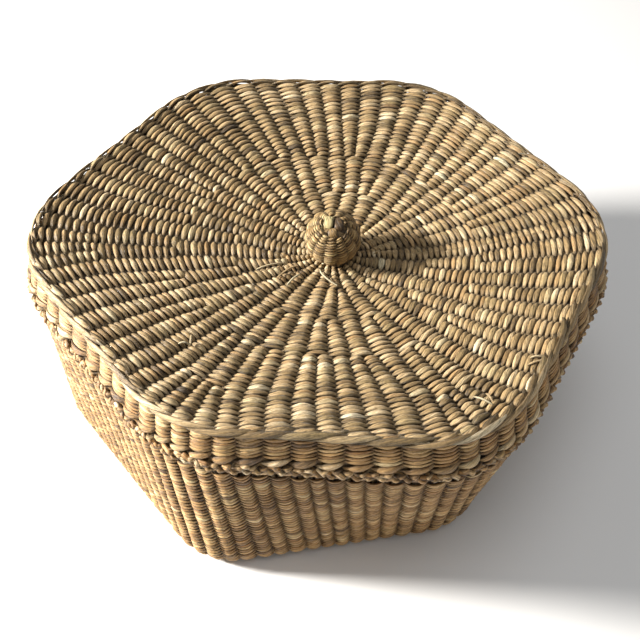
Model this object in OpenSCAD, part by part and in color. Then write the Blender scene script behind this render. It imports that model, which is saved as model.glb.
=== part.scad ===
// Hexagonal storage basket of twined seagrass, with a lift-off dished lid.
// Millimetres, +Z up. The origin is the middle of the basket's plan, on the face it stands on.
// The wall leans out from a smaller, slightly turned base to a ledge that carries the lid.

/* [Lid] */
// Corner-to-corner radius of the lid at its shoulder, before the corners are rounded
lid_r = 148; // [118:1:185]
// Turn of the lid's stakes between the knob and the shoulder, in degrees
stake_swirl = 6; // [0:0.5:10]
// Rounding radius of the lid's six corners
lid_corner_r = 62; // [40:1:80]
// Height of the lid's shoulder above the floor
shoulder_z = 118; // [96:1:150]
// How far the middle of the lid sinks below its shoulder
dish_depth = 26; // [14:1:32]
// How steeply the dish flattens towards the knob
dish_power = 1.5; // [1.1:0.1:2.2]
// Height of the lid's skirt
skirt_h = 25; // [18:1:32]
// How far the skirt leans out at its lower edge
skirt_flare = 4; // [2:0.5:7]
// Width of the twined row over the shoulder
shoulder_row_w = 7; // [5:0.5:9]
// Height of the bold twined row above the skirt's border
lower_row_h = 4.5; // [3:0.5:6]
// Height of the plaited border on the skirt's edge
plait_h = 4.5; // [3:0.5:6]

/* [Knob] */
// Diameter of the woven knob
knob_d = 28; // [18:1:32]
// Thickness of the knob's woven cover
knob_cover_t = 4; // [2:0.5:6]
// Diameter of the stem that joins the knob to the lid
stem_d = 10; // [6:0.5:14]
// Height of the neck between the dish and the knob
neck_h = 4; // [3:0.5:9]
// Radius where the neck spreads out on the dish
neck_spread_r = 17; // [14:0.5:22]
// Sideways distance of the knob from the middle of the lid
knob_shift = 6; // [0:0.5:10]

/* [Basket] */
// Corner-to-corner radius of the base, before the corners are rounded
base_r = 136; // [110:1:146]
// Rounding radius of the base's six corners
base_corner_r = 37; // [25:1:60]
// Turn of the base against the rim, in degrees
base_twist = 8.6; // [0:0.2:12]
// Sideways lean of the base against the rim
base_shift = 10; // [0:0.5:14]
// Height of the rounded foot where the wall turns into the base
foot_h = 11; // [8:0.5:16]
// Height of the ledge that the lid's skirt rests on
ledge_h = 6; // [4:0.5:9]
// How far the ledge stands out past the wall
ledge_out = 1; // [0.5:0.5:3]
// Wall's outer face at the ledge, past the lid's shoulder outline
wall_out = 1.5; // [0:0.5:3]
// Height of the border on top of the collar
rim_h = 5; // [4:0.5:8]

/* [Weave] */
// Thickness of one layer of twined strands
strand_t = 1.5; // [1:0.1:2]
// Thickness of the stakes between the two layers
stake_t = 2; // [1.4:0.1:3]
// Width of a stake
stake_w = 3.2; // [2:0.1:4]
// Stakes that start at the knob
main_stakes_n = 28; // [20:2:36]
// Stakes round the basket's wall
wall_stakes_n = 96; // [72:6:120]
// Radius of the first ring of added stakes, as a share of the way to the shoulder
first_ring = 0.36; // [0.3:0.01:0.42]
// Radius of the second ring of added stakes, as a share of the way to the shoulder
second_ring = 0.56; // [0.5:0.01:0.66]

/* [Fit] */
// Gap between the lid's skirt and the collar it slides over
lid_gap = 2.2; // [1:0.1:4]
// Gap between the lid's edge and the ledge it rests on
rest_gap = 0.3; // [0.2:0.1:0.6]
// Gap between neighbouring layers and pieces of one weave
layer_gap = 0.15; // [0.1:0.05:0.25]
// Gap between the collar's border and the underside of the lid
top_gap = 1.5; // [1:0.5:5]

/* [Hidden] */

// Hand-made differences of the lid's six corners from a true hexagon, outwards
corner_push = [4, -4, -1, 7, -7, 1];
// Steps of the rings that the swept pieces are made of
ring_step = 6;
ring_angles = [0 : ring_step : 360 - ring_step];
// Shoulder radius that the dish's slope is measured over
dish_run = lid_r * cos(30);
wall_t = 2 * strand_t + stake_t;
// Diameter of the stalk bundle inside the knob
knob_core_d = knob_d - 2 * knob_cover_t;
skirt_z = shoulder_z - skirt_h;
ledge_z = skirt_z - rest_gap;
wall_top_z = ledge_z - ledge_h;
collar_out = -wall_t - lid_gap;
collar_in = collar_out - wall_t;
dish_z = shoulder_z - dish_depth;
ball_z = dish_z + neck_h + knob_d / 2;
second_stakes_n = main_stakes_n * 3 / 2;
third_stakes_n = second_stakes_n * 3 / 2;
border_ends_n = 18;
end_length = 6;
rim_z = dish_height(collar_in) - wall_t - top_gap - rim_h;

straw = [0.80, 0.69, 0.48];
tan_straw = [0.70, 0.57, 0.36];
dark_straw = [0.52, 0.41, 0.26];

// Radius of a hexagon with rounded corners, at one angle from its middle
function hex_radius(angle, r, corner_r) =
  let (
    turn = abs((angle + 390) % 60 - 30),
    arc_middle = r - corner_r / cos(30),
    arc_end = atan2(corner_r * sin(30), arc_middle + corner_r * cos(30)),
    side = arc_middle * sin(turn)
  )
  turn < arc_end
    ? arc_middle * cos(turn) + sqrt(corner_r * corner_r - side * side)
    : r * cos(30) / cos(30 - turn);

// Push of the hand-made corners at one angle, blended smoothly from corner to corner
function corner_blend(angle) =
  let (
    place = ((angle + 360) % 360) / 60,
    corner = floor(place),
    share = (1 - cos(180 * (place - corner))) / 2
  )
  corner_push[corner % 6] * (1 - share) + corner_push[(corner + 1) % 6] * share;

// Corner of the lid's many-sided outline; out is the distance outside the shoulder line
function rim_corner(angle, out) =
  let (
    radius = hex_radius(angle, lid_r + out / cos(30), lid_corner_r + out) + corner_blend(angle)
  )
  [radius * cos(angle), radius * sin(angle)];

// Point of the outline at any angle, on the straight line between its two nearest corners,
// so that pieces from neighbouring layers share the same flat faces
function rim_point(angle, out) =
  let (step = floor(angle / ring_step), share = angle / ring_step - step)
  rim_corner(step * ring_step, out) * (1 - share) + rim_corner((step + 1) * ring_step, out) * share;

widest_ring = [for (angle = ring_angles) rim_point(angle, skirt_flare + 1)];
plan_middle = [
  (max([for (p = widest_ring) p[0]]) + min([for (p = widest_ring) p[0]])) / 2,
  (max([for (p = widest_ring) p[1]]) + min([for (p = widest_ring) p[1]])) / 2
];
knob_middle = [knob_shift, 0] - plan_middle;

// Height of the lid's upper face; out is negative towards the knob
function dish_height(out) = shoulder_z - dish_depth * (1 - pow(max(0, 1 + out / dish_run), dish_power));

// Point on the lid: inside the shoulder it lies on the line from the knob to the outline.
// The rows are round at the knob and turn into the hexagon at the shoulder.
function lid_point(angle, out, z) =
  let (
    spoke = rim_point(angle, max(0, out)) - plan_middle - knob_middle,
    share = 1 + min(0, out) / dish_run,
    roundness = (1 - share) * dish_run / norm(spoke),
    plan = knob_middle + spoke * share * (share + roundness)
  )
  [plan[0], plan[1], z];

// Point straight inside or outside the shoulder outline, for the skirt and the collar
function edge_point(angle, out, z) =
  let (plan = rim_point(angle, out) - plan_middle)
  [plan[0], plan[1], z];

// Point of the base's outline, turned and moved against the rim
function base_corner(angle, out) =
  let (
    radius = hex_radius(angle, base_r + out / cos(30), base_corner_r + out),
    turned = angle + base_twist
  )
  [radius * cos(turned) - base_shift, radius * sin(turned)];

function base_point(angle, out, z) =
  let (
    step = floor(angle / ring_step),
    share = angle / ring_step - step,
    plan = base_corner(step * ring_step, out) * (1 - share) + base_corner((step + 1) * ring_step, out) * share
  )
  [plan[0], plan[1], z];

// Point on the leaning wall: share runs from 0 at the foot to 1 at the ledge
function wall_point(angle, out, share) =
  base_point(angle, out, foot_h) * (1 - share) + edge_point(angle, wall_out + out, wall_top_z) * share;

// Closed solid swept round the basket through a closed loop of rings
module swept_ring(rings) {
  steps = len(rings[0]);
  count = len(rings);
  points = [for (ring = rings) each ring];
  faces = [
    for (i = [0 : count - 1], j = [0 : steps - 1])
      let (
        a = i * steps + j,
        b = i * steps + (j + 1) % steps,
        c = ((i + 1) % count) * steps + (j + 1) % steps,
        d = ((i + 1) % count) * steps + j
      )
      each [[a, b, c], [a, c, d]]
  ];
  polyhedron(points, faces);
}

// Bar through a list of four-cornered sections, closed at both ends
module bar(sections) {
  last = len(sections) - 1;
  points = [for (section = sections) each section];
  sides = [
    for (i = [0 : last - 1], j = [0 : 3])
      let (a = 4 * i + j, b = 4 * i + (j + 1) % 4)
      each [[a, b, b + 4], [a, b + 4, a + 4]]
  ];
  ends = [[0, 3, 2], [0, 2, 1], [4 * last, 4 * last + 1, 4 * last + 2], [4 * last, 4 * last + 2, 4 * last + 3]];
  polyhedron(points, concat(sides, ends));
}

// Ring solids from profiles of [out, z], listed clockwise: across the top, then down the outside
module rim_ring(profile) {
  swept_ring([for (p = profile) [for (angle = ring_angles) edge_point(angle, p[0], p[1])]]);
}

module dish_ring(profile) {
  swept_ring([for (p = profile) [for (angle = ring_angles) lid_point(angle, p[0], p[1])]]);
}

module base_ring(profile) {
  swept_ring([for (p = profile) [for (angle = ring_angles) base_point(angle, p[0], p[1])]]);
}

// One layer of the leaning wall, from the foot to the ledge
module wall_skin(outer, inner) {
  swept_ring([
    for (share = [1, 0.5, 0]) [for (angle = ring_angles) wall_point(angle, outer, share)],
    for (share = [0, 0.5, 1]) [for (angle = ring_angles) wall_point(angle, inner, share)]
  ]);
}

// Outline of a flat base layer
module base_outline(out) {
  polygon([for (angle = ring_angles) let (p = base_point(angle, out, 0)) [p[0], p[1]]]);
}

// ---- Base -------------------------------------------------------------------------------------
foot_in = -foot_h * 0.6;
base_hub_r = 16;

module base_outer_strands() {
  color(tan_straw) linear_extrude(strand_t) base_outline(foot_in - layer_gap);
}

module base_stakes() {
  spokes = wall_stakes_n / 4;
  color(dark_straw) translate([0, 0, strand_t + layer_gap / 2])
    linear_extrude(stake_t - layer_gap)
      for (i = [0 : spokes - 1])
        let (
          angle = i * 360 / spokes,
          far = base_point(angle, foot_in - 2 * layer_gap - stake_w / 2, 0),
          middle = [-base_shift, 0],
          reach = norm([far[0], far[1]] - middle)
        )
        translate(middle) rotate(angle + base_twist)
          translate([base_hub_r, -stake_w / 2]) square([reach - base_hub_r, stake_w]);
}

module base_inner_strands() {
  color(straw) translate([0, 0, strand_t + stake_t]) linear_extrude(strand_t)
    base_outline(foot_in - layer_gap);
}

module foot_row() {
  top = foot_h - layer_gap;
  color(tan_straw)
    base_ring([
      [foot_in, wall_t], [-wall_t - 0.5, wall_t + 1], [-wall_t, top],
      [0, top], [foot_in * 0.35, foot_h * 0.2], [foot_in, 0]
    ]);
}

// ---- Wall -------------------------------------------------------------------------------------
module wall_outer_strands() {
  color(straw) wall_skin(0, -strand_t);
}

module wall_inner_strands() {
  color(straw) wall_skin(-strand_t - stake_t, -wall_t);
}

module wall_stakes() {
  outer = -strand_t - 2 * layer_gap;
  inner = -strand_t - stake_t + 2 * layer_gap;
  half = 25 * stake_w / base_r;
  color(dark_straw)
    for (i = [0 : wall_stakes_n - 1])
      let (angle = (i + 0.5) * 360 / wall_stakes_n)
      bar([
        for (share = [0.99, 0.01])
          [
            wall_point(angle - half, outer, share), wall_point(angle + half, outer, share),
            wall_point(angle + half, inner, share), wall_point(angle - half, inner, share)
          ]
      ]);
}

// ---- Ledge and collar -------------------------------------------------------------------------
module ledge_row() {
  low = wall_top_z + layer_gap;
  middle = (low + ledge_z) / 2;
  color(tan_straw)
    rim_ring([
      [collar_in, low], [collar_in, ledge_z],
      [wall_out, ledge_z], [wall_out + ledge_out, middle], [wall_out, low]
    ]);
}

collar_low = ledge_z + layer_gap;
collar_high = rim_z - layer_gap;

module collar_outer_strands() {
  color(straw)
    rim_ring([
      [collar_out - strand_t, collar_low], [collar_out - strand_t, collar_high],
      [collar_out, collar_high], [collar_out, collar_low]
    ]);
}

module collar_inner_strands() {
  color(straw)
    rim_ring([
      [collar_in, collar_low], [collar_in, collar_high],
      [collar_in + strand_t, collar_high], [collar_in + strand_t, collar_low]
    ]);
}

module collar_stakes() {
  outer = collar_out - strand_t - layer_gap;
  inner = collar_in + strand_t + layer_gap;
  half = 25 * stake_w / base_r;
  color(dark_straw)
    for (i = [0 : wall_stakes_n - 1])
      let (angle = (i + 0.5) * 360 / wall_stakes_n)
      bar([
        for (z = [collar_high, collar_low])
          [
            edge_point(angle - half, outer, z), edge_point(angle + half, outer, z),
            edge_point(angle + half, inner, z), edge_point(angle - half, inner, z)
          ]
      ]);
}

module rim_border() {
  middle = rim_z + rim_h / 2;
  color(tan_straw)
    rim_ring([
      [collar_in + 0.6, rim_z], [collar_in, middle], [collar_in + 1, rim_z + rim_h],
      [collar_out - 1, rim_z + rim_h], [collar_out, middle], [collar_out - 0.6, rim_z]
    ]);
}

// ---- Lid's dished top -------------------------------------------------------------------------
top_edge = -shoulder_row_w;
top_start = neck_spread_r - dish_run;
// Distance over which a stake moves from one spacing to the next, on each side of a ring
fan_width = 5;
first_out = (first_ring - 1) * dish_run;
second_out = (second_ring - 1) * dish_run;
top_stations = [
  top_start, first_out - fan_width, first_out + fan_width,
  second_out - fan_width, second_out + fan_width, (second_out + top_edge) / 2, top_edge
];

module dish_skin(drop_outer, drop_inner) {
  dish_ring([
    for (out = top_stations) [out, dish_height(out) - drop_outer],
    for (i = [len(top_stations) - 1 : -1 : 0])
      [top_stations[i], dish_height(top_stations[i]) - drop_inner]
  ]);
}

module top_outer_strands() {
  color(straw) dish_skin(0, strand_t);
}

module top_inner_strands() {
  color(tan_straw) dish_skin(strand_t + stake_t, wall_t);
}

module shoulder_row() {
  color(tan_straw)
    dish_ring([
      [top_edge + layer_gap, dish_height(top_edge)],
      [-shoulder_row_w / 2, shoulder_z],
      [-1, shoulder_z - 1.6],
      [0, shoulder_z - shoulder_row_w / 2],
      [0, shoulder_z - shoulder_row_w],
      [-strand_t, shoulder_z - shoulder_row_w],
      [-strand_t - 0.6, shoulder_z - shoulder_row_w / 2],
      [-shoulder_row_w / 2, shoulder_z - strand_t - 1],
      [top_edge + layer_gap, dish_height(top_edge) - strand_t]
    ]);
}

// ---- Lid's stakes -----------------------------------------------------------------------------
// Each stake is a flat bar from its start on the dish, over the shoulder, down to the border.
stake_bottom_z = skirt_z + plait_h + layer_gap;

// Outer and inner corner of a lid stake's section at one place along it, as [out, z] pairs
function dish_station(out) = [
  [out, dish_height(out) - strand_t - layer_gap],
  [out, dish_height(out) - strand_t - stake_t + layer_gap]
];

function skirt_out(z) = skirt_flare * (shoulder_z - shoulder_row_w - z) / (skirt_h - shoulder_row_w);

function skirt_station(z) = [
  [skirt_out(z) - strand_t - layer_gap, z],
  [skirt_out(z) - strand_t - stake_t + layer_gap, z]
];

bend_station = [
  [-strand_t - 2.2, shoulder_z - strand_t - 3],
  [-strand_t - stake_t - 1.2, shoulder_z - strand_t - stake_t - 2.6]
];

// Half the angle that a stake covers where it lies, at most a share of its spacing near the knob
function half_angle(out) = min(90 * stake_w / (PI * (dish_run + min(0, out))), 0.3 * 180 / main_stakes_n);

// Every second rib splits in two at the first ring, and every second one again at the second ring.
// A stake has a number in each of the three zones, and the stakes are evenly spaced in each.
function middle_number(i) = 2 * floor(i / 3) + min(1, i % 3);

function inner_number(i) = middle_number(middle_number(i));

function stake_angle(i, out) =
  let (
    place =
      out > second_out ? (i + 0.5) / third_stakes_n
      : out > first_out ? (middle_number(i) + 0.5) / second_stakes_n
      : (inner_number(i) + 0.5) / main_stakes_n
  )
  360 * place + stake_swirl * min(0, out) / dish_run;

// One section of a stake; on the skirt it keeps a true distance from the outline
function stake_section(i, station, on_skirt) = [
  for (corner = [[-1, 0], [1, 0], [1, 1], [-1, 1]])
    let (
      out = station[corner[1]][0],
      z = station[corner[1]][1],
      angle = stake_angle(i, station[0][0]) + corner[0] * half_angle(station[0][0])
    )
    on_skirt ? edge_point(angle, out, z) : lid_point(angle, out, z)
];

module lid_stake(i, start) {
  dish_places = concat([start], [for (out = top_stations) if (out > start) out]);
  bar(concat(
    [for (out = dish_places) stake_section(i, dish_station(out), false)],
    [stake_section(i, bend_station, false)],
    [for (z = [shoulder_z - shoulder_row_w, stake_bottom_z]) stake_section(i, skirt_station(z), true)]
  ));
}

function is_second(i) = i % 3 == 2;

function is_first(i) = !is_second(i) && middle_number(i) % 3 == 2;

module main_stakes() {
  stem_end = (stem_d / 2 + 1.5) - dish_run;
  color(dark_straw)
    for (i = [0 : third_stakes_n - 1])
      if (!is_second(i) && !is_first(i)) lid_stake(i, stem_end);
}

module first_added_stakes() {
  color(dark_straw)
    for (i = [0 : third_stakes_n - 1])
      if (is_first(i)) lid_stake(i, first_out + fan_width);
}

module second_added_stakes() {
  color(dark_straw)
    for (i = [0 : third_stakes_n - 1])
      if (is_second(i)) lid_stake(i, second_out + fan_width);
}

// ---- Lid's skirt ------------------------------------------------------------------------------
skirt_top = shoulder_z - shoulder_row_w - layer_gap;
lower_row_top = skirt_z + plait_h + lower_row_h;

module skirt_outer_strands() {
  low = lower_row_top + layer_gap;
  color(straw)
    rim_ring([
      [skirt_out(low) - strand_t, low], [skirt_out(skirt_top) - strand_t, skirt_top],
      [skirt_out(skirt_top), skirt_top], [skirt_out(low), low]
    ]);
}

module skirt_inner_strands() {
  low = stake_bottom_z;
  inset = strand_t + stake_t;
  color(tan_straw)
    rim_ring([
      [skirt_out(low) - wall_t, low], [skirt_out(skirt_top) - wall_t, skirt_top],
      [skirt_out(skirt_top) - inset, skirt_top], [skirt_out(low) - inset, low]
    ]);
}

module lower_row() {
  low = skirt_z + plait_h + layer_gap;
  middle = (low + lower_row_top) / 2;
  color(straw)
    rim_ring([
      [skirt_out(low) - strand_t, low], [skirt_out(lower_row_top) - strand_t, lower_row_top],
      [skirt_out(lower_row_top), lower_row_top], [skirt_out(middle) + 0.8, middle], [skirt_out(low), low]
    ]);
}

module border_plait() {
  middle = skirt_z + plait_h / 2;
  color(tan_straw)
    rim_ring([
      [skirt_flare - wall_t + 0.8, skirt_z], [skirt_flare - wall_t, middle],
      [skirt_flare - wall_t, skirt_z + plait_h], [skirt_flare, skirt_z + plait_h],
      [skirt_flare + 1, middle], [skirt_flare - 0.8, skirt_z]
    ]);
}

// Cut ends of the stakes, tucked into the groove between the border and the row above it
module border_ends() {
  groove_z = skirt_z + plait_h + layer_gap / 2;
  half = 90 * end_length / (PI * lid_r);
  section = [[0.1, 0], [0.5, 0.4], [0.85, 0], [0.5, -0.4]];
  color(straw)
    for (i = [0 : border_ends_n - 1])
      let (angle = (i + 0.3) * 360 / border_ends_n)
      bar([
        for (turn = [half, -half])
          [for (p = section) edge_point(angle + turn, skirt_flare + layer_gap + p[0], groove_z + p[1])]
      ]);
}

// ---- Knob -------------------------------------------------------------------------------------
module at_knob() {
  translate([knob_middle[0], knob_middle[1], 0]) children();
}

module knob_core() {
  color(dark_straw) at_knob() {
    translate([0, 0, dish_z - wall_t]) cylinder(d = stem_d, h = ball_z - dish_z + wall_t, $fn = 48);
    translate([0, 0, ball_z]) sphere(d = knob_core_d, $fn = 48);
  }
}

module knob_strands() {
  color(tan_straw) at_knob() difference() {
    translate([0, 0, ball_z]) sphere(d = knob_d, $fn = 48);
    translate([0, 0, ball_z]) sphere(d = knob_core_d + 2 * layer_gap, $fn = 48);
    translate([0, 0, ball_z - knob_d]) cylinder(d = stem_d + 2 * layer_gap, h = knob_d, $fn = 48);
    translate([0, 0, ball_z]) cylinder(d = stem_d, h = knob_d, $fn = 48);
  }
}

module knob_crown() {
  crown_d = stem_d - 2 * layer_gap;
  color(straw) at_knob() intersection() {
    difference() {
      translate([0, 0, ball_z]) sphere(d = knob_d, $fn = 48);
      translate([0, 0, ball_z]) sphere(d = knob_core_d + 2 * layer_gap, $fn = 48);
    }
    translate([0, 0, ball_z]) cylinder(d = crown_d, h = knob_d, $fn = 48);
  }
}

module neck_binding() {
  inner = stem_d / 2 + layer_gap;
  outer = neck_spread_r - 0.7;
  low = dish_height(top_start) - strand_t;
  high = ball_z - sqrt(pow(knob_d / 2, 2) - pow(inner, 2)) - layer_gap;
  color(tan_straw) at_knob() rotate_extrude($fn = 48)
    polygon([
      [inner, low], [outer, low], [outer, low + strand_t], [inner + 4, low + strand_t + 1],
      [inner + 2, high], [inner, high]
    ]);
}

module under_knot() {
  color(dark_straw) at_knob() translate([0, 0, dish_z - wall_t])
    difference() {
      cylinder(r = neck_spread_r - 0.7, h = strand_t, $fn = 48);
      translate([0, 0, -1]) cylinder(r = stem_d / 2 + layer_gap, h = strand_t + 2, $fn = 48);
    }
}

base_outer_strands();
base_stakes();
base_inner_strands();
foot_row();
wall_outer_strands();
wall_stakes();
wall_inner_strands();
ledge_row();
collar_outer_strands();
collar_stakes();
collar_inner_strands();
rim_border();
top_outer_strands();
top_inner_strands();
shoulder_row();
main_stakes();
first_added_stakes();
second_added_stakes();
skirt_outer_strands();
skirt_inner_strands();
lower_row();
border_plait();
border_ends();
knob_core();
knob_strands();
knob_crown();
neck_binding();
under_knot();
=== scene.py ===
# %% [markdown]
# # Seagrass storage basket
# The basket is twined by hand: stalk bundles (the stakes) run out from the middle of the base and of the
# lid, and pairs of seagrass strands run round them. At every stake one strand of the pair passes in front
# and the other behind, and between two stakes the pair makes half a turn. All of the surface is made of
# that one move, so nearly every piece below is a strand that is really twisted round its partner, and the
# ribs, grooves and slanted stitches come out of it by themselves.
#
# The imported CAD model is the frame: it gives every place and size, and the woven pieces stand in for its
# plain CAD shells, which are hidden as the pieces are made.

# %% Load the frame
import math
import bpy
import numpy as np
from mathutils import Matrix, Vector


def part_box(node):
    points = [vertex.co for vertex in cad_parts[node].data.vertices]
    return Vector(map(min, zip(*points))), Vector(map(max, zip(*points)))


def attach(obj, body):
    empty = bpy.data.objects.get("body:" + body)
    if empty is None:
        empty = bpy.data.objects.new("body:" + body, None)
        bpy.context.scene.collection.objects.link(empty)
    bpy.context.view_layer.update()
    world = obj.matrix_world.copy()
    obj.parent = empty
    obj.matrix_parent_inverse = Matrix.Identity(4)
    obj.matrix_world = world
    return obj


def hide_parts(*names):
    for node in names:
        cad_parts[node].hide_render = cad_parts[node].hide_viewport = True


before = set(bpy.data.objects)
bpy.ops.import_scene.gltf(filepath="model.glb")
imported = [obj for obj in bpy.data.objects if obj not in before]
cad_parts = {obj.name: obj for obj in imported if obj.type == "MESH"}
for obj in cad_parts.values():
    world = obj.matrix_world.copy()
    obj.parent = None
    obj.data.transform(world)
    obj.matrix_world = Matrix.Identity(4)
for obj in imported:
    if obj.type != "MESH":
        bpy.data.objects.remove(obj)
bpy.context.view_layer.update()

# %% [markdown]
# ## Node trees as expressions
# Materials and Geometry Nodes are both trees of nodes. They can be clicked together, but a long sum of
# Math nodes is hard to read. Here a Wire wraps a socket, and Python's own operators add the Math nodes, so
# `1 - wire * 2` reads as it is meant. A Net adds every other node, for both kinds of tree.

# %% Wires and nets
class Wire:
    """A node's output that takes part in Python sums."""

    def __init__(self, net, socket):
        self.net = net
        self.socket = socket

    def math(self, operation, *others):
        return self.net.math(operation, self, *others)

    def __add__(self, other):
        return self.math("ADD", other)

    def __sub__(self, other):
        return self.math("SUBTRACT", other)

    def __mul__(self, other):
        return self.math("MULTIPLY", other)

    def __truediv__(self, other):
        return self.math("DIVIDE", other)

    def __radd__(self, other):
        return self.net.math("ADD", other, self)

    def __rsub__(self, other):
        return self.net.math("SUBTRACT", other, self)

    def __rmul__(self, other):
        return self.net.math("MULTIPLY", other, self)


class Net:
    """A node tree under construction."""

    def __init__(self, tree):
        self.tree = tree

    def node(self, kind, settings=None, inputs=None, out=0):
        """Adds a node: its settings come first, then the values or wires of its sockets."""
        made = self.tree.nodes.new(kind)
        for key, value in (settings or {}).items():
            if key == "stops":
                self.set_stops(made.color_ramp, value)
            else:
                setattr(made, key, value)
        for key, value in (inputs or {}).items():
            if isinstance(value, Wire):
                self.tree.links.new(value.socket, made.inputs[key])
            else:
                made.inputs[key].default_value = value
        return Wire(self, made.outputs[out]) if len(made.outputs) else None

    def set_stops(self, ramp, stops):
        while len(ramp.elements) < len(stops):
            ramp.elements.new(1.0)
        for element, (place, colour) in zip(ramp.elements, stops):
            element.position = place
            element.color = (*colour, 1.0)

    def math(self, operation, *values):
        return self.node("ShaderNodeMath", {"operation": operation}, dict(enumerate(values)))

    def vector(self, x, y, z):
        return self.node("ShaderNodeCombineXYZ", inputs={0: x, 1: y, 2: z})

    def vector_math(self, operation, first, second):
        key = "Scale" if operation == "SCALE" else 1
        return self.node("ShaderNodeVectorMath", {"operation": operation}, {0: first, key: second})

    def noise(self, place, scale, detail=1.0, **more):
        sockets = {"Vector": place, "Scale": scale, "Detail": detail, **more}
        return self.node("ShaderNodeTexNoise", inputs=sockets, out="Fac")

    def ranged(self, value, given, wanted, kind="SMOOTHSTEP"):
        """Carries a value from one range over to another."""
        sockets = {"Value": value, "From Min": given[0], "From Max": given[1],
                   "To Min": wanted[0], "To Max": wanted[1]}
        return self.node("ShaderNodeMapRange", {"interpolation_type": kind}, sockets)

    def multiplied(self, first, second):
        """One colour, tinged with another."""
        return self.node("ShaderNodeMix", {"data_type": "RGBA", "blend_type": "MULTIPLY"},
                         {"Factor": 1.0, 6: first, 7: second}, 2)


# %% [markdown]
# ## The shape of the basket
# The lid is a hexagon with round corners, and none of the six corners is quite like the next. The wall
# leans out from a smaller base that is turned a little. The outlines could be drawn by hand as curves, but
# every row, stake and border has to follow them, so they are functions of the angle, the same ones that
# the CAD model is built from. Each function takes whole arrays of angles at once.

# %% Driving sizes, in metres and degrees
MM = 0.001
LID_R = 148 * MM
LID_CORNER_R = 62 * MM
# How far each corner stands out or in
CORNER_PUSH = np.array([4, -4, -1, 7, -7, 1]) * MM
# Turn of a rib round the knob on its way in
STAKE_SWIRL = 6
# Steepness of the dish: 1 would be a cone, 2 a bowl
DISH_POWER = 1.5
DISH_RUN = LID_R * math.cos(math.pi / 6)
SHOULDER_ROW_W = 7 * MM
SKIRT_FLARE = 4 * MM
WALL_T = 5 * MM
BASE_R = 136 * MM
BASE_CORNER_R = 37 * MM
BASE_TWIST = 8.6
BASE_SHIFT = 10 * MM
WALL_OUT = 1.5 * MM
KNOB_SHIFT = 6 * MM

shoulder_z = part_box("shoulder_row")[1].z
skirt_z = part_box("border_plait")[0].z
plait_top_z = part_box("border_plait")[1].z
lower_row_top_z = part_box("lower_row")[1].z
skirt_top_z = shoulder_z - SHOULDER_ROW_W
dish_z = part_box("top_outer_strands")[0].z + WALL_T
foot_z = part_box("foot_row")[1].z
wall_top_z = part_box("wall_outer_strands")[1].z
knob_low, knob_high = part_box("knob_strands")
knob_r = (knob_high.x - knob_low.x) / 2
ball_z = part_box("knob_crown")[1].z - knob_r
print("shoulder", round(shoulder_z, 4), "dish", round(dish_z, 4), "ball", round(ball_z, 4))


# %% Outlines
def hexagon_radius(angle, r, corner_r):
    """Radius of a hexagon with round corners, which lie at 0, 60, 120 degrees and so on."""
    turn = np.abs((angle + 390) % 60 - 30)
    arc_middle = r - corner_r / math.cos(math.pi / 6)
    arc_end = np.degrees(np.arctan2(corner_r / 2, arc_middle + corner_r * math.cos(math.pi / 6)))
    side = arc_middle * np.sin(np.radians(turn))
    on_arc = arc_middle * np.cos(np.radians(turn)) + np.sqrt(np.maximum(corner_r**2 - side**2, 0))
    on_side = r * math.cos(math.pi / 6) / np.cos(np.radians(30 - turn))
    return np.where(turn < arc_end, on_arc, on_side)


def polar(angle, radius):
    return np.stack([radius * np.cos(np.radians(angle)), radius * np.sin(np.radians(angle))], axis=-1)


def rim_outline(angle, out):
    """Outline of the lid, at a distance outside its shoulder."""
    place = (angle % 360) / 60
    corner = np.floor(place).astype(int) % 6
    share = (1 - np.cos(np.pi * (place - np.floor(place)))) / 2
    push = CORNER_PUSH[corner] * (1 - share) + CORNER_PUSH[(corner + 1) % 6] * share
    radius = hexagon_radius(angle, LID_R + out / math.cos(math.pi / 6), LID_CORNER_R + out)
    return polar(angle, radius + push)


RING_ANGLES = np.arange(0, 360, 6.0)
widest_ring = rim_outline(RING_ANGLES, SKIRT_FLARE + MM)
PLAN_MIDDLE = (widest_ring.max(axis=0) + widest_ring.min(axis=0)) / 2
KNOB_MIDDLE = np.array([KNOB_SHIFT, 0]) - PLAN_MIDDLE
BASE_MIDDLE = np.array([-BASE_SHIFT, 0])


def at_height(plan, z):
    return np.concatenate([plan, np.broadcast_to(z, plan.shape[:-1])[..., None]], axis=-1)


def base_outline(angle, out):
    radius = hexagon_radius(angle, BASE_R + out / math.cos(math.pi / 6), BASE_CORNER_R + out)
    return polar(angle + BASE_TWIST, radius) + BASE_MIDDLE


# %% Surfaces that the rows run on: each takes the angle and a distance along the way down
# The neck: its radius under the ball, the radius where it has run out, how deep it goes into the ball
NECK_TOP_R = 7 * MM
NECK_SPREAD_R = 19 * MM
NECK_IN_BALL = 2 * MM
# How far the neck is carried on past its top
NECK_PAST_TOP = 1.2
neck_top_z = ball_z - math.sqrt(knob_r**2 - NECK_TOP_R**2) + NECK_IN_BALL
skirt_length = skirt_top_z - skirt_z
wall_length = wall_top_z - foot_z
# How far the foot turns in, and how far the middle of the base stands off the table
FOOT_RUN = 6.6 * MM
BASE_RISE = 1.2 * MM
# The collar runs this far inside the lid
LID_GAP = 2.2 * MM
COLLAR_OUT = -WALL_T - LID_GAP


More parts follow.
